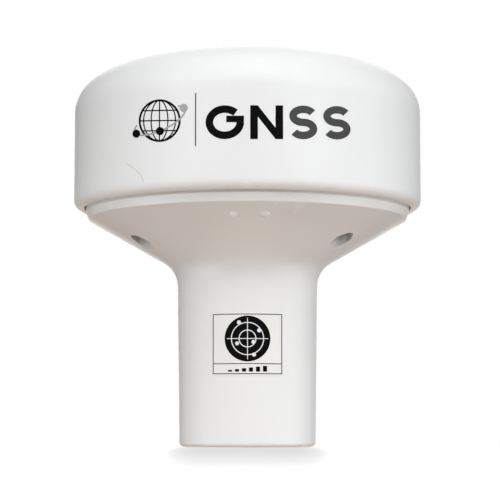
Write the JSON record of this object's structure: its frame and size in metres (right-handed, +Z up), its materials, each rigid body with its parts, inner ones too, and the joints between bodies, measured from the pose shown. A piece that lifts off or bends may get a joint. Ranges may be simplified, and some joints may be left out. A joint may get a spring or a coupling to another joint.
{
  "type": "gnss receiver",
  "caption": "Mushroom-shaped satellite-navigation receiver: a domed radome screwed onto a conical housing whose round neck is a threaded mast socket, with its board and patch antenna inside.",
  "frame": {"origin": "centre of the neck's foot, in the plane it stands on", "axes": "+Z up along the axis of neck and dome; -Y towards the printed front; +X to the right seen from the front"},
  "size_m": [0.075, 0.075, 0.0849],
  "materials": {
    "adhesive_tape": "white foam tape",
    "antenna_ceramic": "sintered dielectric ceramic",
    "board_laminate": "green solder mask over glass laminate",
    "capacitor_can": "drawn aluminium can",
    "capacitor_ceramic": "tan ceramic",
    "cell_steel": "nickel-plated steel",
    "chip_epoxy": "moulded epoxy",
    "connector_white": "natural nylon",
    "dome_plastic": "semi-gloss moulded ASA, white",
    "ferrite": "pressed iron powder",
    "fired_silver": "matt fired silver",
    "fuse_body": "resettable fuse body",
    "gold_pins": "gold-flashed brass",
    "housing_plastic": "satin moulded ASA, warm white",
    "label_film": "white film",
    "lamp_lens": "clear lens",
    "nut_nylon": "black nylon",
    "print_ink": "pad-printed black ink",
    "seal_rubber": "matt black nitrile",
    "stainless_steel": "turned stainless steel",
    "switch_red": "red moulding",
    "tinned_metal": "tin plate"
  },
  "bodies": {
    "housing": {"amplifier_shield": "tinned_metal", "backup_cell": "cell_steel", "backup_cell_tabs": "tinned_metal", "base_housing": "housing_plastic", "board_screws": "stainless_steel", "cable_grommet": "seal_rubber", "cable_header": "connector_white", "chip_capacitors": "capacitor_ceramic", "chip_resistors": "chip_epoxy", "crystal": "tinned_metal", "fuse": "fuse_body", "gland_nut": "nut_nylon", "gland_washer": "stainless_steel", "header_pins": "gold_pins", "lid_seal": "seal_rubber", "line_driver": "chip_epoxy", "line_driver_leads": "tinned_metal", "main_board": "board_laminate", "neck_label": "label_film", "patch_ceramic": "antenna_ceramic", "patch_electrode": "fired_silver", "patch_feed_pin": "tinned_metal", "patch_tape": "adhesive_tape", "power_inductor": "ferrite", "processor": "chip_epoxy", "receiver_carrier": "board_laminate", "receiver_shield": "tinned_metal", "regulator": "chip_epoxy", "regulator_leads": "tinned_metal", "status_led": "lamp_lens", "supply_capacitors": "capacitor_can", "surge_diode": "chip_epoxy", "switch_body": "switch_red"},
    "radome": {"radome": "dome_plastic"},
    "case_screw_1": {"case_screw_1": "stainless_steel"},
    "case_screw_2": {"case_screw_2": "stainless_steel"},
    "case_screw_3": {"case_screw_3": "stainless_steel"},
    "switch_slider_1": {"switch_slider_1": "connector_white"},
    "switch_slider_2": {"switch_slider_2": "connector_white"},
    "switch_slider_3": {"switch_slider_3": "connector_white"},
    "switch_slider_4": {"switch_slider_4": "connector_white"}
  },
  "joints": [
    {"name": "radome_lift", "type": "slide", "parent": "housing", "child": "radome", "axis": [0, 0, 1], "range_m": [0, 0.06]},
    {"name": "case_screw_1_undo", "type": "slide", "parent": "housing", "child": "case_screw_1", "axis": [0, 0, -1], "range_m": [0, 0.02]},
    {"name": "case_screw_2_undo", "type": "slide", "parent": "housing", "child": "case_screw_2", "axis": [0, 0, -1], "range_m": [0, 0.02]},
    {"name": "case_screw_3_undo", "type": "slide", "parent": "housing", "child": "case_screw_3", "axis": [0, 0, -1], "range_m": [0, 0.02]},
    {"name": "switch_slider_1_slide", "type": "slide", "parent": "housing", "child": "switch_slider_1", "axis": [1, 0, 0], "range_m": [0, 0.0014]},
    {"name": "switch_slider_2_slide", "type": "slide", "parent": "housing", "child": "switch_slider_2", "axis": [1, 0, 0], "range_m": [0, 0.0014]},
    {"name": "switch_slider_3_slide", "type": "slide", "parent": "housing", "child": "switch_slider_3", "axis": [1, 0, 0], "range_m": [0, 0.0014]},
    {"name": "switch_slider_4_slide", "type": "slide", "parent": "housing", "child": "switch_slider_4", "axis": [1, 0, 0], "range_m": [0, 0.0014]}
  ]
}
